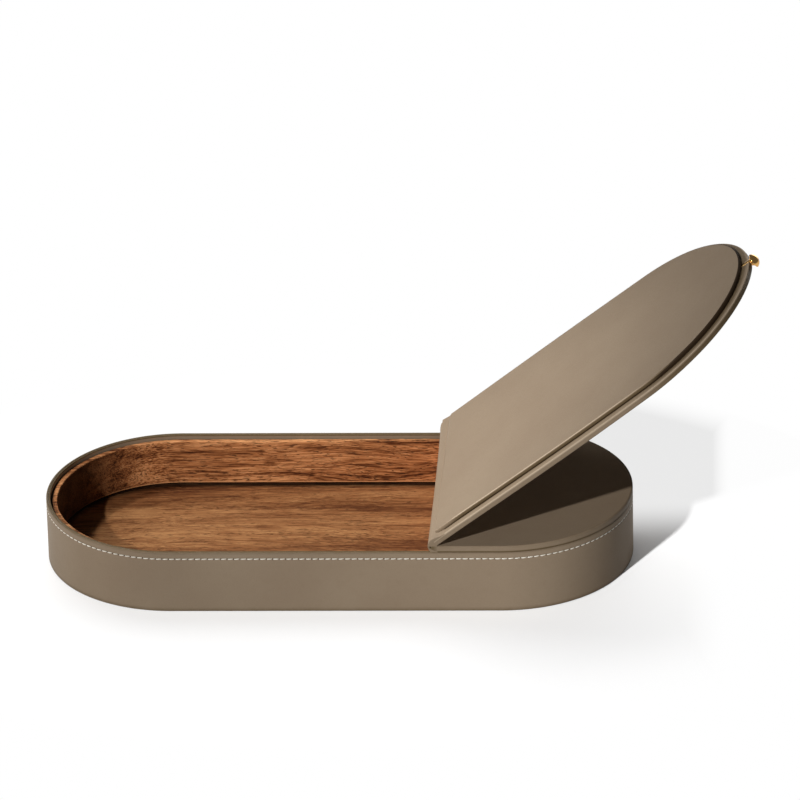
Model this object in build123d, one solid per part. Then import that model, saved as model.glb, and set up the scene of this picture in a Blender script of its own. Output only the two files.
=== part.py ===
from build123d import *
import math
import os

os.makedirs("parts", exist_ok=True)

# Overall size of the box. The outline is a straight run with two half-round ends.
case_length = 300.0
case_width = 133.0
rim_height = 33.5
deck_thickness = 3.5
hinge_x = 52.0
lid_rise_deg = 38.0

# Bottom of the box
pad_thickness = 1.0
pad_margin = 0.3
base_thickness = 2.0
hem_lift = 0.2
floor_thickness = 2.5

# Layers of the wall, from the outside in
hide_thickness = 1.2
core_thickness = 1.9
facing_thickness = 1.0
facing_depth = 9.0
wood_thickness = 2.6
foot_thickness = 1.6
shadow_gap = 1.9
floor_clearance = 0.1
wood_bevel = 0.3
leather_round = 0.35

# Saddle stitching in a shallow channel below the rim
stitch_drop = 3.7
stitch_pitch = 3.3
stitch_length = 2.4
stitch_width = 0.7
stitch_depth = 0.42
stitch_slant_deg = 7.0
channel_depth = 0.35
channel_width = 1.1
thread_clearance = 0.03

# Partition under the hinge line
partition_thickness = 2.6
partition_clearance = 0.1

# Fixed deck over the right-hand third
skin_thickness = 1.0
deck_edge_round = 0.6
locator_clearance = 0.3

# Lid, measured from its outer face inwards
closed_gap = 0.3
lid_skin = 0.9
turn_in_thickness = 0.6
turn_in_cover = 3.6
panel_margin = 2.2
panel_clearance = 0.5
panel_thickness = 2.0
lining_thickness = 0.8
lining_round = 0.5
end_gap = 0.3

# Leather hinge, folded round the fold line
gusset_thickness = 1.0
tab_length = 6.0
glue_gap = 0.1
hollow_radius = 0.45
hollow_wall = 0.65
hollow_turn_deg = 188.0

# Brass pull at the lid's tip and the tang that holds it
stud_radius = 1.0
stud_length = 8.0
stud_clearance = 0.05
neck_radius = 1.9
neck_length = 1.6
head_radius = 3.6
head_thickness = 2.8
head_rim = 0.5
tang_width = 2.8
tang_thickness = 0.6
tang_clearance = 0.05
tang_margin = 1.0

# How near an edge must lie to the level or end it is picked by
match = 0.01

# Heights and places that follow from the sizes above
deck_top = rim_height + deck_thickness
lid_thickness = deck_thickness - closed_gap
lid_inner = lid_thickness + panel_thickness
base_top = pad_thickness + base_thickness
floor_top = base_top + floor_thickness
wood_bottom = floor_top + shadow_gap
wood_top = deck_top - lid_inner - panel_clearance
facing_bottom = rim_height - facing_depth
facing_inner = hide_thickness + facing_thickness
wood_outer = hide_thickness + core_thickness
wood_inner = wood_outer + wood_thickness
foot_inner = wood_outer + foot_thickness
end_radius = case_width / 2
straight_length = case_length - case_width
stitch_height = rim_height - stitch_drop
deck_edge = hinge_x + end_gap
locator_inset = facing_inner + locator_clearance
nose_radius = deck_thickness + glue_gap + gusset_thickness
tab_bottom = deck_top - nose_radius
tab_top = rim_height - glue_gap
lid_length = case_length / 2 + hinge_x
panel_inset = facing_inner + panel_margin
turn_in_width = panel_inset + turn_in_cover
turn_in_level = lid_thickness - turn_in_thickness
panel_start = nose_radius + glue_gap


def slab(inset, low, high):
    """The box outline moved in by inset, as a plate between two heights."""
    outline = SlotOverall(case_length - 2 * inset, case_width - 2 * inset)
    return extrude(Plane.XY.offset(low) * outline, high - low)


def ring(outer, inner, low, high):
    return slab(outer, low, high) - slab(inner, low, high)


def deck_slab(inset, start, low, high):
    """The part of a slab that lies to the right of start."""
    half = Pos(start, 0, low) * Box(
        case_length, case_width, high - low, align=(Align.MIN, Align.CENTER, Align.MIN)
    )
    return slab(inset, low, high) & half


def lid_slab(inset, start, low, high):
    """A plate of the lid, lying flat: X runs from the fold line to the tip, Z inwards."""
    outline = SlotOverall(2 * (lid_length - inset), case_width - 2 * inset)
    plate = extrude(Plane.XY.offset(low) * outline, high - low)
    half = Pos(start, 0, low) * Box(
        lid_length, case_width, high - low, align=(Align.MIN, Align.CENTER, Align.MIN)
    )
    return plate & half


def edges_at(shape, height):
    return [edge for edge in shape.edges() if abs(edge.center().Z - height) < match]


def rim_edges(shape, height, end):
    """Edges at a height, without the straight one on the cut end."""
    return [edge for edge in edges_at(shape, height) if edge.center().X > end + match]


def edges_within(edges, inset):
    """Edges that lie on the box outline moved in by inset, or further in."""
    half_length = case_length / 2 - inset + match
    half_width = end_radius - inset + match
    return [e for e in edges if abs(e.center().X) < half_length and abs(e.center().Y) < half_width]


def opened(shape):
    """Turns a piece of the flat lid about the fold line to the lid's resting place."""
    return Pos(hinge_x, 0, deck_top) * Rot(0, -lid_rise_deg, 0) * shape


def make_side_leather():
    wall = ring(0, hide_thickness, hem_lift, rim_height)
    wall = fillet(edges_at(wall, rim_height), leather_round)
    half = channel_width / 2
    channel = ring(-hide_thickness, channel_depth, stitch_height - half, stitch_height + half)
    return wall - channel


def make_rim_facing():
    strip = ring(hide_thickness, facing_inner, facing_bottom, rim_height)
    return fillet(edges_at(strip, rim_height), leather_round)


def stitch_place(distance, inset):
    """Point and heading at a distance along the outline, counter-clockwise from the front left."""
    radius = end_radius - inset
    arc = math.pi * radius
    if distance < straight_length:
        return distance - straight_length / 2, -radius, 0.0
    distance -= straight_length
    if distance < arc:
        turn = distance / radius
        x = straight_length / 2 + radius * math.sin(turn)
        return x, -radius * math.cos(turn), math.degrees(turn)
    distance -= arc
    if distance < straight_length:
        return straight_length / 2 - distance, radius, 180.0
    turn = (distance - straight_length) / radius
    x = -straight_length / 2 - radius * math.sin(turn)
    return x, radius * math.cos(turn), 180.0 + math.degrees(turn)


def make_stitches():
    inset = channel_depth - thread_clearance - stitch_depth / 2
    perimeter = 2 * straight_length + 2 * math.pi * (end_radius - inset)
    count = round(perimeter / stitch_pitch)
    bead = Rot(0, -stitch_slant_deg, 0) * Box(stitch_length, stitch_depth, stitch_width)
    beads = []
    for index in range(count):
        x, y, heading = stitch_place((index + 0.5) * perimeter / count, inset)
        beads.append(Pos(x, y, stitch_height) * Rot(0, 0, heading) * bead)
    return Compound(beads)


def make_wall_liner():
    wall = ring(wood_outer, wood_inner, wood_bottom, wood_top)
    level_edges = edges_at(wall, wood_bottom) + edges_at(wall, wood_top)
    wall = chamfer(edges_within(level_edges, wood_inner), wood_bevel)
    return wall + ring(wood_outer, foot_inner, base_top, wood_bottom)


def make_partition():
    depth = case_width - 2 * (wood_inner + partition_clearance)
    height = tab_bottom - glue_gap - floor_top
    return Pos(hinge_x, 0, floor_top) * Box(
        partition_thickness, depth, height, align=(Align.MIN, Align.CENTER, Align.MIN)
    )


def make_deck_leather():
    shell = deck_slab(0, deck_edge, rim_height, deck_top)
    shell = fillet(rim_edges(shell, deck_top, deck_edge), deck_edge_round)
    return shell - make_deck_board()


def make_deck_board():
    return deck_slab(
        skin_thickness, deck_edge + skin_thickness, rim_height, deck_top - skin_thickness
    )


def make_deck_locator():
    start = hinge_x + tab_length + locator_clearance
    return deck_slab(locator_inset, start, wood_top, rim_height)


def make_hinge_gusset():
    """Folded leather between the deck's edge and the lid's inner face, with a small hollow."""
    rise = math.radians(lid_rise_deg)

    def at_lid(along, inward):
        x = hinge_x + along * math.cos(rise) - inward * math.sin(rise)
        return x, deck_top + along * math.sin(rise) + inward * math.cos(rise)

    def at_turn(degrees):
        turn = math.radians(degrees)
        return hinge_x + nose_radius * math.cos(turn), deck_top + nose_radius * math.sin(turn)

    def fold(bottom_turn_deg, corner):
        start_turn_deg = 90 + lid_rise_deg
        middle_turn_deg = (start_turn_deg + bottom_turn_deg) / 2
        nose = ThreePointArc(
            at_turn(start_turn_deg), at_turn(middle_turn_deg), at_turn(bottom_turn_deg)
        )
        rest = Polyline(
            at_turn(bottom_turn_deg),
            *corner,
            (hinge_x, deck_top - end_gap),
            at_lid(0, end_gap),
            at_lid(0, lid_thickness + glue_gap),
            at_lid(nose_radius, lid_thickness + glue_gap),
            at_lid(nose_radius, lid_inner),
            at_turn(start_turn_deg),
        )
        return make_face([nose, rest])

    seat = rim_height + glue_gap
    seat_turn_deg = 180 + math.degrees(math.asin((deck_top - seat) / nose_radius))
    outer = fold(seat_turn_deg, [(hinge_x, seat)])
    tab_end = hinge_x + tab_length
    tab = [(tab_end, tab_bottom), (tab_end, tab_top), (hinge_x, tab_top)]
    straight_down_deg = 270
    inner = fold(straight_down_deg, tab)
    reach = nose_radius - hollow_wall - hollow_radius
    turn = math.radians(hollow_turn_deg)
    hollow = Pos(hinge_x + reach * math.cos(turn), deck_top + reach * math.sin(turn)) * Circle(
        hollow_radius
    )
    face_out = extrude(Plane.XZ * (outer - hollow), end_radius, both=True)
    face_in = extrude(Plane.XZ * (inner - hollow), end_radius - locator_inset, both=True)
    return face_out + face_in


def make_lid_board():
    return lid_slab(lid_skin, end_gap + lid_skin, lid_skin, turn_in_level) + lid_slab(
        turn_in_width, end_gap + turn_in_width, turn_in_level, lid_thickness
    )


def stud_bore():
    radius = stud_radius + stud_clearance
    bore = Rot(0, 90, 0) * Cylinder(radius, 2 * stud_length)
    return Pos(lid_length, 0, lid_thickness / 2) * bore


def tang_shape(slack):
    """The tang lies in the turned-in leather and bends over the lid's edge."""
    inner_end = lid_length - turn_in_width + tang_margin
    flat_length = lid_length + tang_thickness - inner_end
    flat = Pos(inner_end - slack, 0, lid_thickness) * Box(
        flat_length + slack,
        tang_width + 2 * slack,
        tang_thickness,
        align=(Align.MIN, Align.CENTER, Align.MAX),
    )
    upright = Pos(lid_length, 0, lid_thickness) * Box(
        tang_thickness,
        tang_width,
        lid_thickness / 2 + tang_width / 2,
        align=(Align.MIN, Align.CENTER, Align.MAX),
    )
    return flat + upright


def make_lid_leather():
    skin = lid_slab(0, end_gap, 0, lid_thickness)
    skin = fillet(rim_edges(skin, 0, end_gap), deck_edge_round)
    skin = fillet(rim_edges(skin, lid_thickness, end_gap), leather_round)
    return skin - make_lid_board() - stud_bore() - tang_shape(tang_clearance)


def make_panel_board():
    inset = panel_inset + lining_thickness
    start = panel_start + lining_thickness
    return lid_slab(inset, start, lid_thickness, lid_inner - lining_thickness)


def make_lining():
    shell = lid_slab(panel_inset, panel_start, lid_thickness, lid_inner)
    shell = fillet(rim_edges(shell, lid_inner, panel_start), lining_round)
    return shell - make_panel_board()


def make_knob():
    neck_start = tang_thickness
    head_start = neck_start + neck_length
    head_end = head_start + head_thickness
    stem = Polyline(
        (-stud_length, 0),
        (-stud_length, stud_radius),
        (neck_start, stud_radius),
        (neck_start, neck_radius),
        (head_start - head_rim, neck_radius),
        (head_start, head_radius - head_rim),
        (head_start + head_rim, head_radius),
    )
    crown = head_thickness - head_rim
    dome_radius = (crown**2 + head_radius**2) / (2 * crown)
    half_turn = math.asin(head_radius / dome_radius) / 2
    middle_x = head_end - dome_radius * (1 - math.cos(half_turn))
    dome = ThreePointArc(
        (head_start + head_rim, head_radius),
        (middle_x, dome_radius * math.sin(half_turn)),
        (head_end, 0),
    )
    axis_line = Line((head_end, 0), (-stud_length, 0))
    profile = make_face([stem, dome, axis_line])
    return Pos(lid_length, 0, lid_thickness / 2) * revolve(profile, Axis.X)


nodes = {
    "base_pad": slab(hide_thickness + pad_margin, 0, pad_thickness),
    "base_board": slab(hide_thickness, pad_thickness, base_top),
    "side_core": ring(hide_thickness, wood_outer, base_top, facing_bottom),
    "side_leather": make_side_leather(),
    "rim_facing": make_rim_facing(),
    "stitches": make_stitches(),
    "wall_liner": make_wall_liner(),
    "floor_panel": slab(foot_inner + floor_clearance, base_top, floor_top),
    "partition": make_partition(),
    "deck_board": make_deck_board(),
    "deck_leather": make_deck_leather(),
    "deck_locator": make_deck_locator(),
    "hinge_gusset": make_hinge_gusset(),
    "lid_board": opened(make_lid_board() - stud_bore()),
    "lid_leather": opened(make_lid_leather()),
    "lid_panel_board": opened(make_panel_board()),
    "lid_lining": opened(make_lining()),
    "knob": opened(make_knob()),
    "knob_tang": opened(tang_shape(0) - stud_bore()),
}

for name, solid in nodes.items():
    export_step(solid, f"parts/{name}.step")
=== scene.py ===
from math import asin, copysign, cos, degrees, hypot, pi, radians, sin

import bmesh
import bpy
from mathutils import Matrix, Vector
from mathutils.geometry import tessellate_polygon


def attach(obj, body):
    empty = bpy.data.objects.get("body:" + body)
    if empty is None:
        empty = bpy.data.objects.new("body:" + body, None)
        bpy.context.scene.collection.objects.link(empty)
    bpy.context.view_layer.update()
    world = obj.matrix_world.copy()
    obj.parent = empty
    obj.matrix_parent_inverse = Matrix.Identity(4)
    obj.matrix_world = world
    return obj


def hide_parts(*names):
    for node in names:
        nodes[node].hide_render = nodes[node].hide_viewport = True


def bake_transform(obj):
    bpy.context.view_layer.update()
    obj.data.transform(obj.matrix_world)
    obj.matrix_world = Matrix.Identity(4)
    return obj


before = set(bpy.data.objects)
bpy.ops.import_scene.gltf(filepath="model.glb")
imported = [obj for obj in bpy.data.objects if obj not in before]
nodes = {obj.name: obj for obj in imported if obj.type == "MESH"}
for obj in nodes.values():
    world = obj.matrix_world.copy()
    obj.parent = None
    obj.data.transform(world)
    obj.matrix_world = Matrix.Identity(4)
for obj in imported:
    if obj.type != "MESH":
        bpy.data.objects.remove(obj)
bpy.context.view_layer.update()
mm = 0.001  # sizes below are in millimetres, meshes are in metres


# Small helpers for node graphs

# Stands for a node's output, so that sums can be written in Python
class Field:
    def __init__(self, graph, socket):
        self.graph = graph
        self.socket = socket

    def maths(self, operation, *others):
        return self.graph.maths(operation, self, *others)

    def __add__(self, other):
        return self.maths("ADD", other)

    def __radd__(self, other):
        return self.maths("ADD", other)

    def __sub__(self, other):
        return self.maths("SUBTRACT", other)

    def __rsub__(self, other):
        return self.graph.maths("SUBTRACT", other, self)

    def __mul__(self, other):
        return self.maths("MULTIPLY", other)

    def __rmul__(self, other):
        return self.maths("MULTIPLY", other)

    def __truediv__(self, other):
        return self.maths("DIVIDE", other)

    def __neg__(self):
        return self.maths("MULTIPLY", -1.0)

    def limited(self):
        return self.maths("MAXIMUM", 0.0).maths("MINIMUM", 1.0)


class Graph:
    def __init__(self, tree):
        self.tree = tree

    def add(self, kind, inputs=None, output=0, **settings):
        node = self.tree.nodes.new(kind)
        for key, value in settings.items():
            if key == "stops":
                marks = node.color_ramp.elements
                while len(marks) < len(value):
                    marks.new(0.5)
                for mark, (place, colour) in zip(marks, value):
                    mark.position = place
                    mark.color = colour
            else:
                setattr(node, key, value)
        for key, value in (inputs or {}).items():
            if isinstance(value, Field):
                self.tree.links.new(value.socket, node.inputs[key])
            else:
                node.inputs[key].default_value = value
        return Field(self, node.outputs[output])

    def maths(self, operation, *values):
        return self.add("ShaderNodeMath", dict(enumerate(values)), operation=operation)

    def vector(self, operation, inputs, output=0):
        return self.add("ShaderNodeVectorMath", inputs, output, operation=operation)

    def blendColours(self, factor, first, second, mode="MIX"):
        inputs = {0: factor, 6: first, 7: second}
        return self.add("ShaderNodeMix", inputs, 2, data_type="RGBA", blend_type=mode)

    def ownPlace(self):
        return self.add("ShaderNodeTexCoord", output="Object")

    def sized(self, place, scale):
        return self.add("ShaderNodeMapping", {"Vector": place, "Scale": scale})

    def shaded(self, tone, shade):
        grey = self.add("ShaderNodeCombineColor", {0: shade, 1: shade, 2: shade})
        return self.blendColours(1.0, tone, grey, "MULTIPLY")

    def parts(self, vector):
        node = self.add("ShaderNodeSeparateXYZ", {0: vector}).socket.node
        return [Field(self, socket) for socket in node.outputs]

    # Rays straight from the camera, and rays by way of a mirror or glass
    def rays(self):
        outputs = self.add("ShaderNodeLightPath").socket.node.outputs
        straight, mirrored, through = (
            Field(self, outputs[f"Is {kind} Ray"]) for kind in ("Camera", "Glossy", "Transmission"))
        return straight, mirrored.maths("MAXIMUM", through)

    def attribute(self, name):
        return self.add("ShaderNodeAttribute", {}, "Fac", attribute_name=name)

    def stored(self, geometry, name, value):
        inputs = {"Geometry": geometry, "Name": name, "Value": value}
        return self.add("GeometryNodeStoreNamedAttribute", inputs, data_type="FLOAT", domain="POINT")

    def bump(self, height, depth, strength, below=None):
        inputs = {"Strength": strength, "Distance": depth * mm, "Height": height}
        if below:
            inputs["Normal"] = below
        return self.add("ShaderNodeBump", inputs)

    def noise(self, place, scale, detail=2.0, roughness=0.5, distortion=0.0):
        inputs = {"Vector": place, "Scale": scale, "Detail": detail}
        inputs.update({"Roughness": roughness, "Distortion": distortion})
        return self.add("ShaderNodeTexNoise", inputs, "Fac")

    def between(self, value, low, high):
        inputs = {"Value": value, "From Min": low, "From Max": high}
        return self.add("ShaderNodeMapRange", inputs, interpolation_type="SMOOTHSTEP")


# Screen values 0-255 as the linear colour that a shader takes
def colourOf(red, green, blue):
    parts = []
    for value in (red, green, blue):
        value = value / 255
        parts.append(value / 12.92 if value <= 0.04045 else ((value + 0.055) / 1.055) ** 2.4)
    return (*parts, 1.0)


# A material with one Principled shader, and the graph that feeds it
def newFinish(name, constants):
    material = bpy.data.materials.new(name)
    material.use_nodes = True
    tree = material.node_tree
    shader = next(n for n in tree.nodes if n.type == "BSDF_PRINCIPLED")
    for key, value in constants.items():
        shader.inputs[key].default_value = value
    return material, Graph(tree), shader


def feed(graph, shader, **fields):
    names = {"colour": "Base Color", "roughness": "Roughness", "normal": "Normal"}
    for key, field in fields.items():
        graph.tree.links.new(field.socket, shader.inputs[names[key]])


# Leather

hideLook = {
    "colour": (154, 134, 112),
    "paleColour": (165, 146, 123),
    # edge paint colour for cut edges, also used for painted shade
    "edgePaintAndShadeColour": (98, 81, 54),
    # painted highlight colour for rounded edges
    "arrisHighlightColour": (196, 177, 152),
    # painted shade colour for grooves, hollows and stitch holes
    "paintedShadeColour": (52, 38, 26),
    "grainSize": 0.42,       # millimetres between pores
    "grainDepth": 0.030,
    "creaseDepth": 0.05,
    "roughness": 0.50,
}


def makeHide(name, look):
    material, graph, shader = newFinish(name, {"Specular IOR Level": 0.12})
    place = graph.ownPlace()
    broad = graph.noise(place, 26, 3)
    blotch = graph.noise(place, 210, 4, 0.6)
    stray = graph.add("ShaderNodeTexNoise", {"Vector": place, "Scale": 900.0}, "Color")
    warped = graph.vector("ADD", {0: place, 1: graph.vector("SCALE", {0: stray, "Scale": 0.00035})})
    cells = {"Vector": warped, "Scale": 1 / (look["grainSize"] * mm)}
    pores = graph.add("ShaderNodeTexVoronoi", cells, "Distance", feature="DISTANCE_TO_EDGE")
    pebble = graph.between(pores, 0.0, 0.32)
    fine = graph.noise(place, 5200, 2)
    edge, prick = graph.attribute("edge"), graph.attribute("prick")
    colours = {key: colourOf(*value) for key, value in look.items() if isinstance(value, tuple)}
    tone = graph.blendColours((broad * 1.5 - 0.3).limited(), colours["colour"], colours["paleColour"])
    tone = graph.shaded(tone, 1 - (1 - pebble) * 0.10 - (blotch - 0.5) * 0.10)
    # painted shade in grooves and hollows, from the highest edge tones
    crevice = graph.between(edge, 0.9, 2.0)
    # negative edge tones paint a highlight along rounded edges
    tone = graph.blendColours((-edge).limited(), tone, colours["arrisHighlightColour"])
    # edge paint on cut edges, and painted shade where edge tones mark grooves, hollows and the lid's tip
    edgePaintAndShade = (edge * 1.25 - (blotch - 0.5) * 0.5).limited()
    tone = graph.blendColours(edgePaintAndShade * 0.85, tone, colours["edgePaintAndShadeColour"])
    # painted shade: grooves and the pressed-in stitch holes go dark
    tone = graph.blendColours(crevice.maths("MAXIMUM", prick) * 0.9, tone, colours["paintedShadeColour"])
    roughness = look["roughness"] + (blotch - 0.5) * 0.16 + (1 - pebble) * 0.08 - edgePaintAndShade * 0.08
    wrinkle = graph.noise(place, 70, 3, 0.55, 0.4)
    grain = graph.bump(pebble * 0.75 + fine * 0.25, look["grainDepth"], 0.8)
    relief = graph.bump(wrinkle, look["creaseDepth"], 0.7, grain)
    feed(graph, shader, colour=tone, roughness=roughness, normal=relief)
    return material


# Walnut. The grain runs along X. Faces across the grain are darkened, partly for the cut fibres at the
# wall's curved ends and mostly as painted shade

wallLook = {
    "dark": (84, 43, 20),
    "mid": (184, 119, 72),
    "light": (238, 172, 116),
    "pore": (36, 15, 6),
    "offset": (0.31, 0.17, 0.43),
    "figure": 150.0,      # broad bands per metre across the grain
    "streaks": 900.0,
    "streakDepth": 0.62,
    "poreDepth": 0.75,
    "straightHalf": 83.5,
    "footTop": 7.4,       # the wall stands on a foot, set back; below this, painted shade darkens it
    "shadeFrom": 200.0,    # inset at which painted shade starts on the floor towards the wall's foot, past it for none
    "turned": 0.0,        # quarter turn for a board whose grain runs along Y
}
floorLook = dict(
    wallLook, dark=(88, 49, 26), mid=(142, 92, 55), light=(184, 132, 85), offset=(0.9, 0.62, 0.11),
    figure=80.0, streaks=620.0, streakDepth=0.30, poreDepth=0.6, footTop=-5.0, shadeFrom=57.0,
)
crossLook = dict(wallLook, footTop=-5.0, turned=0.5 * pi)


def makeWalnut(name, look):
    material, graph, shader = newFinish(name, {"Specular IOR Level": 0.15})
    whole = graph.ownPlace()
    place = graph.add("ShaderNodeMapping", {
        "Vector": whole, "Location": look["offset"], "Rotation": (0.0, 0.0, look["turned"]),
    })
    sway = graph.sized(place, (9, 26, 26))
    lean = graph.add("ShaderNodeTexNoise", {"Vector": sway, "Scale": 1.0}, "Color")
    place = graph.vector("ADD", {0: place, 1: graph.vector("SCALE", {0: lean, "Scale": 0.016})})
    bands = graph.noise(graph.sized(place, (0.10, 1, 1)), look["figure"], 4, 0.55)
    streaks = graph.noise(graph.sized(place, (0.045, 1, 1)), look["streaks"], 3, 0.6)
    threads = graph.noise(graph.sized(place, (0.03, 1, 1)), 2100, 2, 0.6)
    poreField = graph.noise(graph.sized(place, (0.11, 1, 1)), 2500, 1, 0.5)
    crowd = graph.noise(graph.sized(place, (0.08, 1, 1)), 300, 2, 0.5)
    pores = graph.between(poreField + (crowd - 0.5) * 0.3, 0.585, 0.65)
    depth = 0.5 + (bands - 0.5) * 1.5 + (streaks - 0.5) * 0.7 + (threads - 0.5) * 1.45
    dark, mid, light, pore = (colourOf(*look[key]) for key in ("dark", "mid", "light", "pore"))
    stops = [(0.16, dark), (0.48, mid), (0.84, light)]
    tone = graph.add("ShaderNodeValToRGB", {"Fac": depth}, stops=stops)
    lines = graph.between(streaks + (bands - 0.5) * 0.5, 0.43, 0.33) * look["streakDepth"]
    tone = graph.blendColours(lines, tone, dark)
    tone = graph.blendColours(pores * look["poreDepth"], tone, pore)
    facing = graph.parts(graph.add("ShaderNodeTexCoord", output="Normal"))[1 if look["turned"] else 0]
    aside, side, height = graph.parts(whole)
    beyond = (aside.maths("ABSOLUTE") - look["straightHalf"] * mm).maths("MAXIMUM", 0.0)
    reach = (beyond * beyond + side * side).maths("SQRT")
    # darkens faces across the grain: partly end grain, mostly painted shade
    endGrainAndShade = graph.between(facing.maths("ABSOLUTE"), 0.25, 0.90) * 0.86
    # painted shade along the floor's edge at the wall's foot
    corner = graph.between(reach, look["shadeFrom"] * mm, (look["shadeFrom"] + 4.4) * mm) * 0.6
    top = look["footTop"]
    # painted shade on the foot under the wall, in the gap above the floor
    foot = graph.between(height, (top + 0.02) * mm, (top - 0.02) * mm) * 0.93
    # painted highlight along the wall's lower edge, above the foot
    footEdgeHighlight = graph.between(height, (top + 0.95) * mm, (top + 0.5) * mm) * (1 - foot) * 0.8
    tone = graph.blendColours(footEdgeHighlight, tone, light)
    tone = graph.shaded(tone, (1 - endGrainAndShade) * (1 - corner) * (1 - foot))
    roughness = 0.52 + (threads - 0.5) * 0.25 + pores * 0.15
    relief = graph.bump(threads * 0.5 - pores, 0.05, 0.7)
    feed(graph, shader, colour=tone, roughness=roughness, normal=relief)
    return material


# Brass, waxed thread, felt and board

def makeBrass(name):
    material, graph, shader = newFinish(name, {"Metallic": 1.0})
    place = graph.ownPlace()
    cloud = graph.noise(place, 520, 4, 0.6)
    scratch = graph.noise(graph.sized(place, (1, 0.08, 1)), 4200, 2)
    tone = graph.blendColours(cloud, colourOf(190, 140, 76), colourOf(222, 180, 112))
    roughness = 0.15 + cloud * 0.08 + scratch * 0.06
    feed(graph, shader, colour=tone, roughness=roughness, normal=graph.bump(scratch, 0.006, 0.4))
    return material


def makeThread(name):
    material, graph, shader = newFinish(name, {"Specular IOR Level": 0.9})
    place = graph.ownPlace()
    fibre = graph.noise(graph.sized(place, (1, 1, 2.5)), 3000, 3, 0.6)
    tone = graph.blendColours(fibre, colourOf(232, 222, 200), colourOf(255, 252, 244))
    feed(graph, shader, colour=tone, roughness=0.34 + fibre * 0.12, normal=graph.bump(fibre, 0.04, 0.6))
    return material


def makeFelt(name):
    material, graph, shader = newFinish(name, {"Specular IOR Level": 0.15, "Sheen Weight": 0.3})
    place = graph.ownPlace()
    nap = graph.noise(place, 2600, 4, 0.7, 0.8)
    patch = graph.noise(place, 60, 3)
    pile = (nap * 0.8 + patch * 0.4 - 0.1).limited()
    tone = graph.blendColours(pile, colourOf(34, 28, 24), colourOf(72, 62, 52))
    feed(graph, shader, colour=tone, roughness=0.85 + nap * 0.12, normal=graph.bump(nap, 0.18, 0.9))
    return material


def makeBoard(name):
    material, graph, shader = newFinish(name, {"Specular IOR Level": 0.2})
    place = graph.ownPlace()
    fleck = graph.noise(place, 900, 4, 0.7)
    tone = graph.blendColours(fleck, colourOf(96, 78, 58), colourOf(134, 112, 86))
    feed(graph, shader, colour=tone, roughness=0.7 + fleck * 0.2, normal=graph.bump(fleck, 0.05, 0.5))
    return material


finishes = {
    "hide": makeHide("smoothHide", hideLook),
    "thread": makeThread("waxedThread"),
    "wall_wood": makeWalnut("walnutWall", wallLook),
    "floor_wood": makeWalnut("walnutFloor", floorLook),
    "cross_wood": makeWalnut("walnutPartition", crossLook),
    "board": makeBoard("greyBoard"),
    "felt": makeFelt("baseFelt"),
    "brass": makeBrass("warmBrass"),
}
print("finishes made")


# The box: outline and heights, as the frame has them

box = {
    "endRadius": 66.5,
    "straight": 167.0,
    "rim": 33.5,
    "deckTop": 37.0,
    "hingeX": 52.0,
    "rise": 38.0,         # degrees that the lid stands above the deck
    "lidStraight": 135.5,
    "lidThick": 3.2,
    "straightStep": 8.0,  # between points of the deck's and lid's outline
    "roundStep": 2.2,
}
rise = radians(box["rise"])
perimeter = 2 * box["straight"] + 2 * pi * box["endRadius"]


# Centre x and outward direction at a distance along the outline, from the front left
def outlineSpot(distance):
    distance = distance % perimeter
    half = box["straight"] / 2
    arc = pi * box["endRadius"]
    if distance < box["straight"]:
        return distance - half, 0.0, -1.0
    distance -= box["straight"]
    if distance < arc:
        turn = distance / box["endRadius"]
        return half, sin(turn), -cos(turn)
    distance -= arc
    if distance < box["straight"]:
        return half - distance, 0.0, 1.0
    turn = (distance - box["straight"]) / box["endRadius"]
    return -half, -sin(turn), cos(turn)


def onOutline(distance, inset, height):
    centre, across, along = outlineSpot(distance)
    reach = box["endRadius"] - inset
    return centre + across * reach, along * reach, height


# Rises from 0 to 1 over a span
def ramp(value, start, span):
    return min(max((value - start) / span, 0.0), 1.0)


# The lid is slightly warped: its front edge bows outwards and its rear edge inwards
lidShape = {
    "sag": 0.27,
    "twist": 0.57,
    "from": 10.0,
    "to": 165.0,
    "trim": 1.8,        # taken off the half round's rear
    "trimFrom": 88.0,   # degrees from the front
    "trimSpan": 67.0,
    "drift": 1.55,      # how much later the fold line starts at the rear
    "driftPower": 1.6,
    "driftEnd": 8.0,
}


def lidBow(along, side):
    part = ramp(along, lidShape["from"], lidShape["to"] - lidShape["from"])
    lean = lidShape["sag"] - lidShape["twist"] * side / box["endRadius"]
    return sin(pi * part) ** 1.2 * lean


# A point of the lid at rest, from the fold line, the middle and the outer face
def onLid(along, side, inward):
    level = inward - lidBow(along, side)
    x = box["hingeX"] + along * cos(rise) - level * sin(rise)
    z = box["deckTop"] + along * sin(rise) + level * cos(rise)
    return x, side, z


# The same for the lid's plates, whose inner face starts later towards the rear, as the fold does
def onPlate(along, side, inward):
    late = foldDrift(side) * max(1 - along / lidShape["driftEnd"], 0.0) * inward / box["lidThick"]
    return onLid(along + late, side, inward)


def foldDrift(side):
    ahead = 1 - ramp(side, -box["endRadius"], 2 * box["endRadius"])
    return lidShape["drift"] * (1 - ahead ** lidShape["driftPower"])


def onDeck(along, side, height):
    return along, side, height


# Inset and drop along a rounded edge, from the side to the flat
def rounding(radius, turns):
    steps = []
    for step in range(turns + 1):
        turn = radians(90.0 * step / turns)
        steps.append((radius * (1 - cos(turn)), radius * (1 - sin(turn))))
    return steps


def placed(name, data):
    item = bpy.data.objects.new(name, data)
    bpy.context.scene.collection.objects.link(item)
    return item


# A smooth shaded object from points in millimetres
def buildMesh(name, points, faces, finish, edge=None, sharp=35.0):
    return finishObject(name, rawMesh(name, points, [], faces, edge), finish, sharp)


def rawMesh(name, points, edges, faces, tones):
    data = bpy.data.meshes.new(name)
    data.from_pydata([tuple(c * mm for c in p) for p in points], edges, faces)
    if tones is not None:
        layer = data.attributes.new("edge", "FLOAT", "POINT")
        layer.data.foreach_set("value", tones)
    return data


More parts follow.
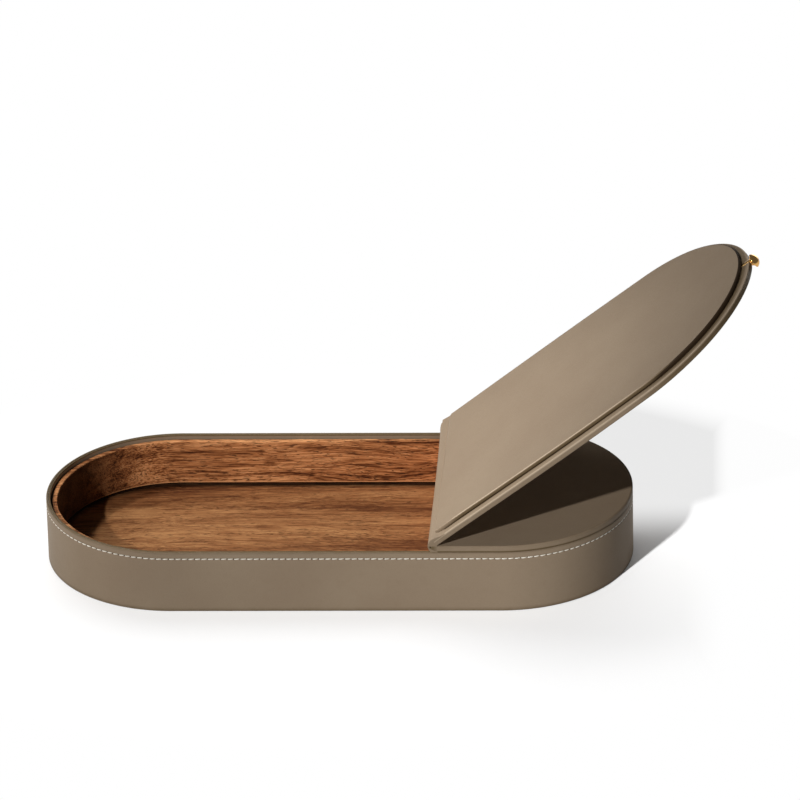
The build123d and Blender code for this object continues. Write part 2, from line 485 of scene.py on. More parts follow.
def finishObject(name, data, finish, sharp=35.0):
    work = bmesh.new()
    work.from_mesh(data)
    bmesh.ops.recalc_face_normals(work, faces=work.faces)
    work.to_mesh(data)
    work.free()
    data.materials.clear()
    data.materials.append(finishes[finish])
    data.polygons.foreach_set("use_smooth", [True] * len(data.polygons))
    data.set_sharp_from_angle(angle=radians(sharp))
    piece = placed(name, data)
    return piece


# Quads between neighbouring closed loops that have the same number of points
def bridge(loops):
    count = len(loops[0])
    faces = []
    for first, second in zip(loops, loops[1:]):
        for k in range(count):
            after = (k + 1) % count
            faces.append((first[k], first[after], second[after], second[k]))
    return faces


# Geometry Nodes: a section swept along a path with the stitch holes pressed in, and the stitches

# Sets a modifier's inputs by their sockets' identifiers
def treeInputs(tree, modifier, values):
    for item in tree.interface.items_tree:
        if item.item_type == "SOCKET" and item.in_out == "INPUT" and item.name in values:
            modifier[item.identifier] = values[item.name]


def newTree(name, sockets):
    tree = bpy.data.node_groups.new(name, "GeometryNodeTree")
    tree.interface.new_socket("Geometry", in_out="INPUT", socket_type="NodeSocketGeometry")
    for label, kind in sockets.items():
        tree.interface.new_socket(label, in_out="INPUT", socket_type="NodeSocket" + kind)
    tree.interface.new_socket("Geometry", in_out="OUTPUT", socket_type="NodeSocketGeometry")
    graph = Graph(tree)
    entry = tree.nodes.new("NodeGroupInput")
    given = {s.name: Field(graph, s) for s in entry.outputs if s.name}
    return tree, graph, given


def closeTree(graph, field, finish):
    field = graph.add("GeometryNodeRealizeInstances", {"Geometry": field})
    field = graph.add("GeometryNodeSetMaterial", {"Geometry": field, "Material": finish})
    end = graph.tree.nodes.new("NodeGroupOutput")
    graph.tree.links.new(field.socket, end.inputs[0])


# A closed line of edges, used as a path or a section
def loopObject(name, points, edge=None):
    count = len(points)
    return placed(name, rawMesh(name, points, [(k, (k + 1) % count) for k in range(count)], [], edge))


# Runs a tree on an object and keeps the result as a plain mesh object
def evaluated(source, tree, values, name, finish, sharp=35.0):
    modifier = source.modifiers.new(tree.name, "NODES")
    modifier.node_group = tree
    treeInputs(tree, modifier, values)
    bpy.context.view_layer.update()
    depsgraph = bpy.context.evaluated_depsgraph_get()
    data = bpy.data.meshes.new_from_object(
        source.evaluated_get(depsgraph), preserve_all_data_layers=True, depsgraph=depsgraph)
    data.name = name
    source.modifiers.remove(modifier)
    bpy.data.objects.remove(source)
    return finishObject(name, data, finish, sharp)


stitchSizes = {
    "count": 228,
    "length": 2.5,
    "thickness": 0.72,
    "dip": 0.28,        # how far the ends go down into their holes
    "height": 29.8,
    "inset": 0.28,
    "slant": 7.0,       # degrees
    "seed": 7,
}
pitch = perimeter / stitchSizes["count"]


def makeStitchTree():
    sockets = {"Stitches": "Int", "Length": "Float", "Thickness": "Float", "Dip": "Float"}
    sockets.update({"Slant": "Float", "Seed": "Int", "Thread": "Material"})
    tree, graph, given = newTree("saddleStitches", sockets)
    path = graph.add("GeometryNodeMeshToCurve", {"Mesh": given["Geometry"]})
    spots = graph.add("GeometryNodeResampleCurve", {"Curve": path, "Count": given["Stitches"]})
    half = given["Length"] * 0.5
    line = graph.add("GeometryNodeCurveQuadraticBezier", {
        "Resolution": 6,
        "Start": graph.add("ShaderNodeCombineXYZ", {"X": half * -1.0, "Y": given["Dip"]}),
        "Middle": graph.add("ShaderNodeCombineXYZ", {"Y": given["Dip"] * -1.0}),
        "End": graph.add("ShaderNodeCombineXYZ", {"X": half, "Y": given["Dip"]}),
    })
    radius = given["Thickness"] * 0.5
    ring = graph.add("GeometryNodeCurvePrimitiveCircle", {"Resolution": 6, "Radius": radius})
    swell = (graph.add("GeometryNodeSplineParameter", output="Factor") * pi).maths("SINE")
    line = graph.add("GeometryNodeSetCurveRadius", {"Curve": line, "Radius": 0.72 + swell * 0.28})
    bead = graph.add("GeometryNodeCurveToMesh", {"Curve": line, "Profile Curve": ring, "Fill Caps": True})
    tangent = {"Vector": graph.add("GeometryNodeInputTangent")}
    heading = graph.add("FunctionNodeAlignRotationToVector", tangent, axis="X", pivot_axis="Z")
    spread = {2: -0.05, 3: 0.05, "Seed": given["Seed"]}
    lean = graph.add("FunctionNodeRandomValue", spread, 1, data_type="FLOAT")
    tilt = graph.add("ShaderNodeCombineXYZ", {"Y": lean - given["Slant"]})
    tilt = graph.add("FunctionNodeEulerToRotation", {"Euler": tilt})
    turned = {"Rotation": heading, "Rotate By": tilt}
    heading = graph.add("FunctionNodeRotateRotation", turned, rotation_space="LOCAL")
    spread = {2: 0.94, 3: 1.05, "Seed": given["Seed"] + 1}
    size = graph.add("FunctionNodeRandomValue", spread, 1, data_type="FLOAT")
    beads = graph.add("GeometryNodeInstanceOnPoints", {
        "Points": spots, "Instance": bead, "Rotation": heading, "Scale": size,
    })
    closeTree(graph, beads, given["Thread"])
    return tree


# The path lies at height 0, and the section holds inset and height as minus X and minus Y
def makeWallTree():
    sockets = {"Section": "Object", "Stitches": "Int", "Hide": "Material"}
    for label in ("Stitch Height", "Pitch", "Hole Depth", "Hole Size", "Straight", "End Radius"):
        sockets[label] = "Float"
    tree, graph, given = newTree("sweptWall", sockets)
    path = graph.add("GeometryNodeMeshToCurve", {"Mesh": given["Geometry"]})
    path = graph.add("GeometryNodeSetCurveNormal", {"Curve": path}, mode="Z_UP")
    path = graph.stored(path, "part", graph.add("GeometryNodeSplineParameter", output="Factor"))
    section = graph.add("GeometryNodeObjectInfo", {"Object": given["Section"]}, "Geometry")
    section = graph.add("GeometryNodeMeshToCurve", {"Mesh": section})
    wall = graph.add("GeometryNodeCurveToMesh", {"Curve": path, "Profile Curve": section})
    x, y, z = graph.parts(graph.add("GeometryNodeInputPosition"))
    middle = x.maths("MINIMUM", given["Straight"] * 0.5).maths("MAXIMUM", given["Straight"] * -0.5)
    outward = graph.add("ShaderNodeCombineXYZ", {"X": x - middle, "Y": y})
    reach = graph.vector("LENGTH", {0: outward}, "Value")
    outside = reach.maths("GREATER_THAN", given["End Radius"] - 0.9 * mm)
    part = graph.add("GeometryNodeInputNamedAttribute", {"Name": "part"}, data_type="FLOAT")
    phase = (part * given["Stitches"] + 0.5).maths("FRACT")
    across = (phase - 0.5) * given["Pitch"] / given["Hole Size"]
    up = (z - given["Stitch Height"]) / given["Hole Size"]
    press = (-(across * across + up * up)).maths("EXPONENT") * outside
    outward = graph.vector("NORMALIZE", {0: outward})
    push = graph.vector("SCALE", {0: outward, "Scale": -(press * given["Hole Depth"])})
    wall = graph.stored(wall, "prick", press)
    wall = graph.add("GeometryNodeSetPosition", {"Geometry": wall, "Offset": push})
    wall = graph.add("GeometryNodeRemoveAttribute", {"Geometry": wall, "Name": "part"})
    closeTree(graph, wall, given["Hide"])
    return tree


stitchPath = [onOutline((k / 4 + 0.5) * pitch, stitchSizes["inset"], stitchSizes["height"])
              for k in range(4 * stitchSizes["count"])]
stitches = evaluated(loopObject("stitchPath", stitchPath), makeStitchTree(), {
    "Stitches": stitchSizes["count"],
    "Length": stitchSizes["length"] * mm,
    "Thickness": stitchSizes["thickness"] * mm,
    "Dip": stitchSizes["dip"] * mm,
    "Slant": radians(stitchSizes["slant"]),
    "Seed": stitchSizes["seed"],
    "Thread": finishes["thread"],
}, "threadStitches", "thread", 80.0)
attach(stitches, "case")
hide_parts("stitches")
print("stitches sewn:", len(stitches.data.polygons), "faces")


# Wall: the outer leather with its channel for the thread, and the strip behind the rim

sideSizes = {
    "columns": 6 * stitchSizes["count"],
    "thickness": 1.16,
    "hem": 0.2,
    "hemRound": 0.35,
    "rimRound": 0.42,
    "channelDepth": 0.34,
    "channelWidth": 1.15,
    "holeDepth": 0.16,
    "holeSize": 0.42,
    "insideLow": 3.0,
}
rimSizes = {"columns": 480, "outer": 1.22, "inner": 2.2, "low": 24.5, "round": 0.33, "below": 0.05}


# Inset, height and edge tone round the outer leather's section
def sideSection(s):
    rim = box["rim"]
    rows = [(s["thickness"], s["hem"], 1.0), (s["hemRound"], s["hem"], 1.0)]
    for inset, drop in reversed(rounding(s["hemRound"], 4)):
        rows.append((inset, s["hem"] + drop, 0.5))
    rows += [(0.0, height, 0.0) for height in (2.5, 8.0, 14.0, 20.0, 25.0, 27.4)]
    half = s["channelWidth"] / 2
    for step in (-2.6, -1.8, -1.3, -1.0, -0.8, -0.5, -0.2, 0.2, 0.5, 0.8, 1.0, 1.3, 1.8, 2.6):
        depth = 0.5 * (1 + cos(pi * min(abs(step), 1.0)))
        rows.append((s["channelDepth"] * depth, stitchSizes["height"] + half * step, 0.0))
    rows.append((0.0, rim - 1.2, 0.0))
    for inset, drop in rounding(s["rimRound"], 5):
        rows.append((inset, rim - drop, 0.35 + 0.65 * inset / s["rimRound"]))
    for inset, drop in reversed(rounding(0.3, 4)):
        rows.append((s["thickness"] - inset, rim - drop, 1.0))
    rows.append((s["thickness"], s["insideLow"], 0.0))
    return rows


def rimSection(s):
    rim = box["rim"] - s["below"]
    rows = [(s["inner"], s["low"], 0.0), (s["inner"], rim - 3, 0.0), (s["inner"], rim - 1, 0.0)]
    for inset, drop in rounding(s["round"], 4):
        rows.append((s["inner"] - inset, rim - drop, 1.0))
    for inset, drop in reversed(rounding(s["round"], 4)):
        rows.append((s["outer"] + inset, rim - drop, 1.0))
    rows.append((s["outer"], s["low"], 0.0))
    return rows


def sweepWall(name, rows, columns, holeDepth):
    path = [onOutline(k * perimeter / columns, 0.0, 0.0) for k in range(columns)]
    corners = [(-inset, -height, 0) for inset, height, tone in rows]
    section = loopObject(name + "Section", corners, [tone for inset, height, tone in rows])
    wall = evaluated(loopObject(name + "Path", path), wallTree, {
        "Section": section,
        "Stitches": stitchSizes["count"],
        "Stitch Height": stitchSizes["height"] * mm,
        "Pitch": pitch * mm,
        "Hole Depth": holeDepth * mm,
        "Hole Size": sideSizes["holeSize"] * mm,
        "Straight": box["straight"] * mm,
        "End Radius": box["endRadius"] * mm,
        "Hide": finishes["hide"],
    }, name, "hide")
    bpy.data.objects.remove(section)
    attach(wall, "case")
    return wall


wallTree = makeWallTree()
sideHide = sweepWall("sideHide", sideSection(sideSizes), sideSizes["columns"], sideSizes["holeDepth"])
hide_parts("side_leather")
rimStrip = sweepWall("rimStrip", rimSection(rimSizes), rimSizes["columns"], 0.0)
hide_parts("rim_facing")
print("wall leather swept:", len(sideHide.data.polygons) + len(rimStrip.data.polygons), "faces")


# Deck and lid leather, and the lid's board: half of the outline, cut off at the hinge

deckSizes = {"start": 52.3, "centre": 83.5, "round": 0.75, "underRound": 0.3, "joint": 0.06}
lidSizes = {
    "start": 0.3, "round": 0.75, "innerRound": 0.5, "flange": 5.0, "skin": 0.95, "wrap": 8.0,
    # painted shade on the side band and flange, growing towards the tip
    "tipShade": 0.55, "tipShadeFrom": -12.0, "tipShadeReach": 30.0,
}


# Points round a half outline, from the front end of the cut to its rear end, trimmed at the rear right
def halfLoop(start, centre, inset, level, place, trim):
    count = max(2, round((centre - start) / box["straightStep"]))
    turns = round(pi * box["endRadius"] / box["roundStep"])
    radius = box["endRadius"] - inset
    spots = [(start + (centre - start) * k / count, -radius) for k in range(count)]
    for k in range(turns + 1):
        turn = pi * k / turns
        reach = radius - trim * sin(pi * ramp(degrees(turn), lidShape["trimFrom"], lidShape["trimSpan"]))
        spots.append((centre + reach * sin(turn), -reach * cos(turn)))
    spots += [(centre - (centre - start) * k / count, radius) for k in range(1, count + 1)]
    return [place(along, side, level) for along, side in spots]


# Strips across the two open ends of a plate, so that it can follow the lid's bow
def capStrips(loops):
    faces = []
    for loop, flip in ((loops[0], True), (loops[-1], False)):
        for k in range(len(loop) // 2):
            quad = tuple(dict.fromkeys((loop[k], loop[k + 1], loop[-2 - k], loop[-1 - k])))
            if len(quad) > 2:
                faces.append(tuple(reversed(quad)) if flip else quad)
    return faces


# A plate whose section is given as rows of inset, level and edge tone
def halfPlate(name, rows, start, centre, place, finish, trim):
    points, edge, loops = [], [], []
    for inset, level, tone in rows:
        loop = halfLoop(start, centre, inset, level, place, trim)
        loops.append(list(range(len(points), len(points) + len(loop))))
        points += loop
        edge += [tone] * len(loop)
    return buildMesh(name, points, bridge(loops) + capStrips(loops), finish, edge)


def deckRows(s):
    top, low = box["deckTop"], box["rim"] + s["joint"]
    rows = [(s["round"] + 1.2, top, 0.0), (s["round"] + 0.3, top, 0.0)]
    rows += [(inset, top - drop, 0.25) for inset, drop in reversed(rounding(s["round"], 6))]
    rows += [(0.0, top - 1.6, 0.15), (0.0, low + 0.9, 0.2)]
    rows += [(inset, low + drop, 1.2) for inset, drop in rounding(s["underRound"], 4)]
    rows += [(s["underRound"] + 0.4, low, 2.0), (3.0, low, 1.0)]
    return rows


def lidRows(s):
    inner = box["lidThick"]
    rows = [(s["round"] + 1.2, 0.0, 0.0), (s["round"] + 0.3, 0.0, 0.0)]
    rows += [(inset, drop, 0.2) for inset, drop in reversed(rounding(s["round"], 6))]
    rows += [(0.0, 1.3, 0.2), (0.0, inner - 1.0, 0.25)]
    # painted highlight on the flange's inner arris
    rows += [(inset, inner - drop, -0.5) for inset, drop in rounding(s["innerRound"], 5)]
    rows += [(inset, inner, 0.1) for inset in (s["innerRound"] + 0.4, 1.7, 2.5)]
    # painted shade on the flange where it meets the panel's foot
    rows += [(s["flange"] - 0.8, inner, 0.15), (s["flange"] - 0.3, inner, 1.4)]
    rows.append((s["flange"], inner, 2.0))
    return rows


def boardRows(s):
    skin, high = s["skin"], box["lidThick"] - 0.6
    return [(skin, skin, 0.0), (skin, high, 0.0), (s["wrap"], high, 0.0), (s["wrap"], high + 0.55, 0.0)]


# The lid's side band and flange get painted shade, darker towards the tip
def shadeTowardsTip(piece, s):
    inner = box["lidThick"]
    for vert, tone in zip(piece.data.vertices, piece.data.attributes["edge"].data):
        x, side, z = (c / mm for c in vert.co)
        x, z = x - box["hingeX"], z - box["deckTop"]
        along = x * cos(rise) + z * sin(rise)
        level = z * cos(rise) - x * sin(rise) + lidBow(along, side)
        beyond = along - box["lidStraight"]
        within = hypot(max(beyond, 0.0), side) < box["endRadius"] - lidShape["trim"]
        if within and level > inner - 0.03 or 0.4 < level < inner - 0.3:
            tone.value += s["tipShade"] * ramp(beyond, s["tipShadeFrom"], s["tipShadeReach"])


deckStart, deckCentre = deckSizes["start"], deckSizes["centre"]
deckHide = halfPlate("deckHide", deckRows(deckSizes), deckStart, deckCentre, onDeck, "hide", 0.0)
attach(deckHide, "case")
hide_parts("deck_leather")

lidStart, lidEnd, trim = lidSizes["start"], box["lidStraight"], lidShape["trim"]
lidHide = halfPlate("lidHide", lidRows(lidSizes), lidStart, lidEnd, onPlate, "hide", trim)
shadeTowardsTip(lidHide, lidSizes)
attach(lidHide, "lid")
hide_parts("lid_leather")
lidBoard = halfPlate("lidBoard", boardRows(lidSizes), lidStart + 0.9, lidEnd, onPlate, "board", trim)
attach(lidBoard, "lid")
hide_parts("lid_board")
print("deck and lid leather made")


# Raised panel of the lid: lining over a board

panelSizes = {
    "start": 2.4,
    "skew": 2.9,        # how much further up the lid its rear corner begins
    "cornerRound": 1.2,
    "centre": 135.8,
    "shift": 0.4,       # the panel sits a little towards the rear
    "radius": 61.7,
    "top": 5.45,
    "round": 0.72,
    "sunk": 0.1,
    "skive": 1.8,
    "skiveReach": 14.0,
    "deepest": 5.64,    # what the wooden wall leaves below the closed lid
    "rimSide": 40.0,    # past these the panel may meet the wall
    "rimAlong": 160.0,
    "plainEnd": 10.0,   # the edge has no tone of its own up to here
    "plainFade": 5.0,
    "tipShade": 0.25,       # painted shade, adding up along each row from the tip round to the rear
    "tipShadeFrom": 118.0,
    "tipShadeReach": 40.0,
    "lining": 0.8,
}


def arcPoints(cx, cy, radius, start, end, steps):
    turns = [radians(start + (end - start) * k / steps) for k in range(steps + 1)]
    return [(cx + radius * cos(turn), cy + radius * sin(turn)) for turn in turns]


# The panel's outline moved in, counter-clockwise from the front left corner
def panelOutline(s, inset):
    start, radius = s["start"] + inset, s["radius"] - inset
    r = max(s["cornerRound"] - inset, 0.2)
    low, high = s["shift"] - radius, s["shift"] + radius
    outline = arcPoints(start + r, low + r, r, 180, 270, 5)
    straight = s["centre"] - start - r
    outline += [(start + r + straight * k / 18, low) for k in range(1, 18)]
    outline += arcPoints(s["centre"], s["shift"], radius, -90, 90, 96)
    outline += [(s["centre"] - straight * k / 18, high) for k in range(1, 18)]
    outline += arcPoints(start + r, high - r, r, 90, 180, 5)
    leaning = []
    for along, side in outline:
        near = max(s["centre"] - along, 0.0) / (s["centre"] - s["start"])
        leaning.append((along + s["skew"] * near * (side - low) / (high - low), side))
    return leaning


# A closed plate from rows of inset, level and edge tone, with strips across its flat faces
def panelPlate(name, rows, s, finish):
    points, edge, loops = [], [], []
    for inset, level, tone in rows:
        outline = panelOutline(s, inset)
        loops.append(list(range(len(points), len(points) + len(outline))))
        for along, side in outline:  # the end by the fold is skived, more so at the rear
            near = max(1 - (along - s["start"]) / s["skiveReach"], 0.0) * (side / s["radius"] + 1) / 2
            late = s["skive"] * near * max(level - box["lidThick"], 0.0)
            rim = abs(side) > s["rimSide"] or along > s["rimAlong"]
            inward = min(level, s["deepest"] + lidBow(along, side)) if rim else level
            points.append(onLid(along + late, side, inward))
        for along, side in outline:  # the edge's tone, with painted shade added and the painted highlight faded towards the tip
            tipShading = ramp(along, s["tipShadeFrom"], s["tipShadeReach"])
            if tone != 0 and finish == "hide":
                tone = tone * (1 - tipShading * (tone < 0)) + tipShading * s["tipShade"]
            edge.append(tone * ramp(along, s["plainEnd"], s["plainFade"]))
    return buildMesh(name, points, bridge(loops) + capStrips(loops), finish, edge)


def panelRows(s):
    low, high = box["lidThick"] - s["sunk"], s["top"]
    # painted shade along the panel's foot and side
    rows = [(s["lining"], low, 2.0), (0.3, low, 2.0), (0.22, low + 0.2, 1.9), (0.1, low + 0.5, 0.9)]
    rows.append((0.0, low + 1.0, 0.8))
    # painted shade low on the rounding, painted highlight along the top edge
    tones = (0.8, 0.6, 0.2, -0.5, -1.0, -1.0, -0.6, 0.0)
    rows += [(inset, high - drop, tone) for (inset, drop), tone in zip(rounding(s["round"], 7), tones)]
    rows += [(s["round"] + 0.4, high, 0.0), (s["round"] + 2.4, high, 0.0)]
    return rows


liningPanel = panelPlate("liningPanel", panelRows(panelSizes), panelSizes, "hide")
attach(liningPanel, "lid")
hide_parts("lid_lining")
coreRows = [(1.2, box["lidThick"], 0.0), (0.85, box["lidThick"] + 0.2, 0.0)]
coreRows += [(0.85, panelSizes["top"] - 0.85, 0.0), (1.3, panelSizes["top"] - 0.8, 0.0)]
panelBoard = panelPlate("panelBoard", coreRows, panelSizes, "board")
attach(panelBoard, "lid")
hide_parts("lid_panel_board")
print("raised panel made")


# Folded hide of the hinge, from the lid's flange round the nose to the tab under the deck

foldSizes = {
    "nose": 4.6,
    "noseTaper": 0.613,  # the nose tightens by this part of the fold line's drift
    "stripEnd": 7.4,
    "stripEase": 6.4,
    "tabHalf": 64.0,
    "tabEnd": 58.0,
    "tabThick": 1.0,
    "seat": 33.58,
    "endRound": 0.32,
    "hollowRadius": 0.42,
    "hollowTurn": 190.0,
    "hollowReach": 3.3,
    "hollowDrift": 1.4,  # at the rear end
    "hollowDepth": 4.0,
    "hollowSides": 12,
}


# The fold's section at a place across the box, with the outside drawn in by inset
def foldSection(s, side, inset):
    skew = foldDrift(side)
    nose = s["nose"] - s["noseTaper"] * skew
    flange = box["lidThick"]
    section = []
    for k in range(10):  # strip from the flange down to the nose
        u = s["stripEnd"] * (1 - k / 9) ** 1.3
        ease = min(u / s["stripEase"], 1.0)
        level = nose + (flange + 0.03 - nose) * ease * ease * (3 - 2 * ease)
        along = u * (1 - skew / s["stripEnd"]) + skew
        section.append(onLid(along, side, level - inset)[::2])
    for k in range(1, 25):  # nose
        turn = 90 + box["rise"] + (180 - box["rise"]) * k / 24
        wide = ramp(turn, 200, 70)
        reach = s["nose"] - (s["nose"] - nose) * (1 - wide * wide * (3 - 2 * wide)) - inset
        turn = radians(turn)
        x = box["hingeX"] + skew + reach * cos(turn)
        section.append((x, box["deckTop"] + reach * sin(turn)))
    low, joint = box["deckTop"] - s["nose"], box["hingeX"] + 0.3
    section += [(s["tabEnd"], low), (s["tabEnd"], low + s["tabThick"]), (joint, low + s["tabThick"])]
    section.append((joint, box["deckTop"] - 0.05))
    section += [onPlate(0.3, side, 0.05)[::2], onPlate(0.3, side, flange - 0.5)[::2]]
    section += [onLid(s["stripEnd"], side, flange - 0.5)[::2]]
    if abs(side) > s["tabHalf"]:
        section = [(min(x, joint) if z < s["seat"] else x, max(z, s["seat"])) for x, z in section]
    return section


def makeFold(s):
    work = bmesh.new()
    tone = work.verts.layers.float.new("edge")
    half, r = box["endRadius"] - 0.02, s["endRound"]
    rows = [(half, r), (half - 0.3 * r, 0.3 * r), (half - r, 0.0), (half - 1.0, 0.0)]
    rows += [(s["tabHalf"] + 0.01, 0.0), (s["tabHalf"] - 0.01, 0.0)]
    rows += [(s["tabHalf"] * (1 - k / 12), 0.0) for k in range(1, 12)]
    rows = [(-side, inset) for side, inset in rows] + [(0.0, 0.0)] + rows[::-1]
    loops = []
    for side, inset in rows:
        loop = []
        for x, z in foldSection(s, side, inset):
            vert = work.verts.new((x * mm, side * mm, z * mm))
            vert[tone] = 0.25 if inset else 0.0
            loop.append(vert)
        loops.append(loop)
    for face in bridge(loops):
        work.faces.new(face)
    middle = radians(s["hollowTurn"])
    for loop, side in ((loops[0], rows[0][0]), (loops[-1], rows[-1][0])):
        rings = []
        for place in (side, side - copysign(s["hollowDepth"], side)):
            ring = []
            for k in range(s["hollowSides"]):
                turn = 2 * pi * k / s["hollowSides"]
                x = box["hingeX"] + s["hollowReach"] * cos(middle) + s["hollowRadius"] * cos(turn)
                z = box["deckTop"] + s["hollowReach"] * sin(middle) + s["hollowRadius"] * sin(turn)
                x += s["hollowDrift"] if side > 0 else 0.0
                vert = work.verts.new((x * mm, place * mm, z * mm))
                # painted shade in the hollow
                vert[tone] = 1.0
                ring.append(vert)
            rings.append(ring)
        for face in bridge(rings) + [rings[1]]:
            work.faces.new(face)
        corners = []
        for vert in loop:
            if not corners or (vert.co - corners[-1].co).length > 1e-6:
                corners.append(vert)
        flat = [[Vector((v.co.x, v.co.z, 0.0)) for v in line] for line in (corners, rings[0])]
        every = corners + rings[0]
        for a, b, c in tessellate_polygon(flat):
            work.faces.new((every[a], every[b], every[c]))
    bmesh.ops.remove_doubles(work, verts=work.verts, dist=1e-6)
    bmesh.ops.dissolve_degenerate(work, edges=work.edges, dist=1e-7)
    data = bpy.data.meshes.new("hingeHide")
    work.to_mesh(data)
    work.free()
    return finishObject("hingeHide", data, "hide", 40.0)


hingeHide = makeFold(foldSizes)
tuple(c * mm for c in onLid(0.0, 0.0, foldSizes["nose"]))
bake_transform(hingeHide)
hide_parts("hinge_gusset")
print("hinge fold made:", len(hingeHide.data.polygons), "faces")


# Brass pull and its tang

pullSizes = {
    "stud": 1.0,
    "studDepth": 7.0,
    "neck": 1.9,
    "neckFoot": 2.2,
    "neckLength": 0.75,
    "head": 3.75,
    "headThick": 3.1,
    "headRim": 0.5,
    "sides": 64,
    "tangWidth": 2.8,
    "tangThick": 0.6,
    "tangRound": 0.16,
}


# Distance out from the lid's edge and radius, from the stud to the crown
def pullProfile(s):
    foot = s["tangThick"]
    head = foot + s["neckLength"]
    rows = [(-s["studDepth"], 0.0), (-s["studDepth"], s["stud"]), (foot - 0.1, s["stud"])]
    rows += [(foot - 0.1, s["neck"]), (foot + 0.03, s["neckFoot"])]
    rows += [(foot + 0.15, s["neckFoot"]), (foot + 0.28, s["neck"])]
    rows.append((head - 0.35, s["neck"] - 0.05))
    for k in range(1, 9):  # flare into the head
        turn = radians(90 * k / 8)
        flare = (s["head"] - s["neck"] - 0.2) * (1 - cos(turn))
        rows.append((head - 0.35 + 0.55 * sin(turn), s["neck"] - 0.05 + flare))
    crown = s["headThick"] - s["headRim"]
    dome = (crown ** 2 + s["head"] ** 2) / (2 * crown)
    widest = asin(s["head"] / dome)
    rows.append((head + 0.32, s["head"] - 0.04))
    for k in range(14):
        turn = widest * (1 - k / 13)
        rows.append((head + s["headThick"] - dome * (1 - cos(turn)), dome * sin(turn)))
    return rows


def makePull(s):
    points, loops = [], []
    tip, middle = box["lidStraight"] + box["endRadius"], box["lidThick"] / 2
    rows = pullProfile(s)
    for out, radius in rows[1:-1]:
        loops.append(range(len(points), len(points) + s["sides"]))
        for k in range(s["sides"]):
            turn = 2 * pi * k / s["sides"]
            points.append(onLid(tip + out, radius * cos(turn), middle + radius * sin(turn)))
    faces = bridge(loops)
    for out, loop in ((rows[0][0], loops[0]), (rows[-1][0], loops[-1])):
        points.append(onLid(tip + out, 0.0, middle))
        faces += [(loop[k], loop[(k + 1) % s["sides"]], len(points) - 1) for k in range(s["sides"])]
    return buildMesh("brassPull", points, faces, "brass", sharp=40.0)


# A bent strip with softened edges, flat in the turned-in leather and over the lid's edge
def makeTang(s):
    tip = box["lidStraight"] + box["endRadius"]
    top = box["lidThick"] + 0.06
    thick, half, r = s["tangThick"], s["tangWidth"] / 2, s["tangRound"]
    low = box["lidThick"] / 2 - half

    def section(inset):
        line = [(tip - 7.0, top - inset)]
        for k in range(7):
            turn = radians(90 * (1 - k / 6))
            reach = 0.5 - inset
            line.append((tip + thick - 0.5 + reach * cos(turn), top - 0.5 + reach * sin(turn)))
        line += [(tip + thick - inset, low + inset), (tip + 0.02, low + inset)]
        return line + [(tip + 0.02, top - thick), (tip - 7.0, top - thick)]

    points, loops = [], []
    rows = [(-half, r), (0.3 * r - half, 0.3 * r), (r - half, 0.0)]
    for side, inset in rows + [(-side, inset) for side, inset in rows[::-1]]:
        line = section(inset)
        loops.append(list(range(len(points), len(points) + len(line))))
        points += [onLid(along, side, inward) for along, inward in line]
    faces = bridge(loops) + [tuple(loops[0]), tuple(reversed(loops[-1]))]
    return buildMesh("brassTang", points, faces, "brass", sharp=40.0)


brassPull = makePull(pullSizes)
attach(brassPull, "lid")
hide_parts("knob")
brassTang = makeTang(pullSizes)
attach(brassTang, "lid")
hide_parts("knob_tang")
print("brass made")


# CAD pieces whose shape is right get their finishes

kept = {
    "wall_liner": "wall_wood",
    "partition": "cross_wood",
    "floor_panel": "floor_wood",
    "base_pad": "felt",
    "base_board": "board",
    "side_core": "board",
    "deck_board": "board",
    "deck_locator": "board",
}
for name, finish in kept.items():
    data = nodes[name].data
    data.materials.clear()
    data.materials.append(finishes[finish])
print("kept pieces finished")


# Floor, light and camera

stageLook = {
    "size": 6.0,
    "drop": -0.00005,     # metres below the base, so that the two never share a plane
    "floorColour": (238, 238, 238),
    "bounceColour": (116, 116, 116),
    "glow": 0.03,
    # Where the floor turns plain white with its own glow, painted light that fades the object's shadows:
    # from, to (metres) and how far
    "rear": (0.005, 0.053, 0.70),
    "right": (0.172, 0.200, 0.95),
    "far": (0.20, 0.30, 0.97),
}


def makeStage(look):
    half = look["size"] / 2
    data = bpy.data.meshes.new("floor")
    corners = [(-half, -half), (half, -half), (half, half), (-half, half)]
    data.from_pydata([(x, y, look["drop"]) for x, y in corners], [], [(0, 1, 2, 3)])
    floor = placed("floor", data)
    material = bpy.data.materials.new("paleFloor")
    material.use_nodes = True
    tree = material.node_tree
    tree.nodes.clear()
    graph = Graph(tree)
    straight, mirrored = graph.rays()
    aside, depth = graph.parts(graph.add("ShaderNodeNewGeometry", output="Position"))[:2]
    away = (aside * aside + depth * depth * 2.0).maths("SQRT")
    white = [graph.between(distance, *look[key][:2]) * look[key][2]
             for distance, key in ((depth, "rear"), (aside, "right"), (away, "far"))]
    lift = look["glow"] + white[0].maths("MAXIMUM", white[1]).maths("MAXIMUM", white[2])
    plain = graph.add("ShaderNodeBsdfDiffuse", {"Color": colourOf(*look["floorColour"])})
    glow = graph.add("ShaderNodeEmission", {"Color": (1, 1, 1, 1), "Strength": 1.0})
    shown = graph.add("ShaderNodeMixShader", {0: lift, 1: plain, 2: glow})
    dull = graph.add("ShaderNodeBsdfDiffuse", {"Color": colourOf(*look["bounceColour"])})
    seen = straight.maths("MAXIMUM", mirrored)
    whole = graph.add("ShaderNodeMixShader", {0: seen, 1: dull, 2: shown})
    end = tree.nodes.new("ShaderNodeOutputMaterial")
    tree.links.new(whole.socket, end.inputs["Surface"])
    data.materials.append(material)
    return floor


floor = makeStage(stageLook)

